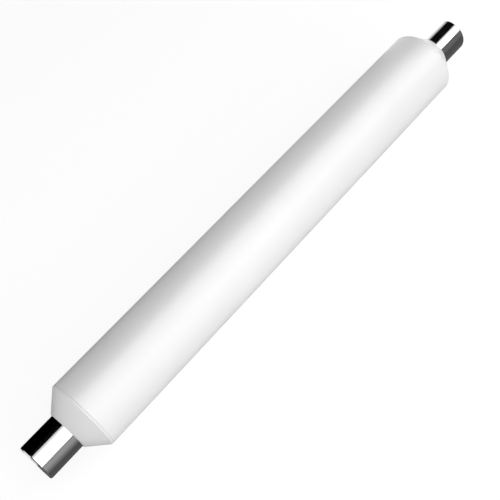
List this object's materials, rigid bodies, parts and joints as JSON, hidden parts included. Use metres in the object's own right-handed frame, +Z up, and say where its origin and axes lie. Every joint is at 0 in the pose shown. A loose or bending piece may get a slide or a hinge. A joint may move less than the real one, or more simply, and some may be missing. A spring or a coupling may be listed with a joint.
{
  "type": "tubular light bulb",
  "caption": "Straight opal tubular lamp with a tapered white collar and a plain polished metal cap on each end, held and fed through its caps by a pair of lampholders.",
  "frame": {"origin": "middle of the lamp, on its axis", "axes": "+X along the lamp's axis towards the right cap, +Z up; the lamp is round, so Y and Z are alike"},
  "size_m": [0.31, 0.0364, 0.0364],
  "materials": {
    "opal_diffuser": "satin opal white, evenly diffusing",
    "collar_moulding": "fine moulded white",
    "cap_metal": "bright plated, mirror polished"
  },
  "bodies": {
    "root": {"opal_tube": "opal_diffuser", "left_collar": "collar_moulding", "right_collar": "collar_moulding", "left_cap": "cap_metal", "right_cap": "cap_metal"}
  },
  "joints": []
}
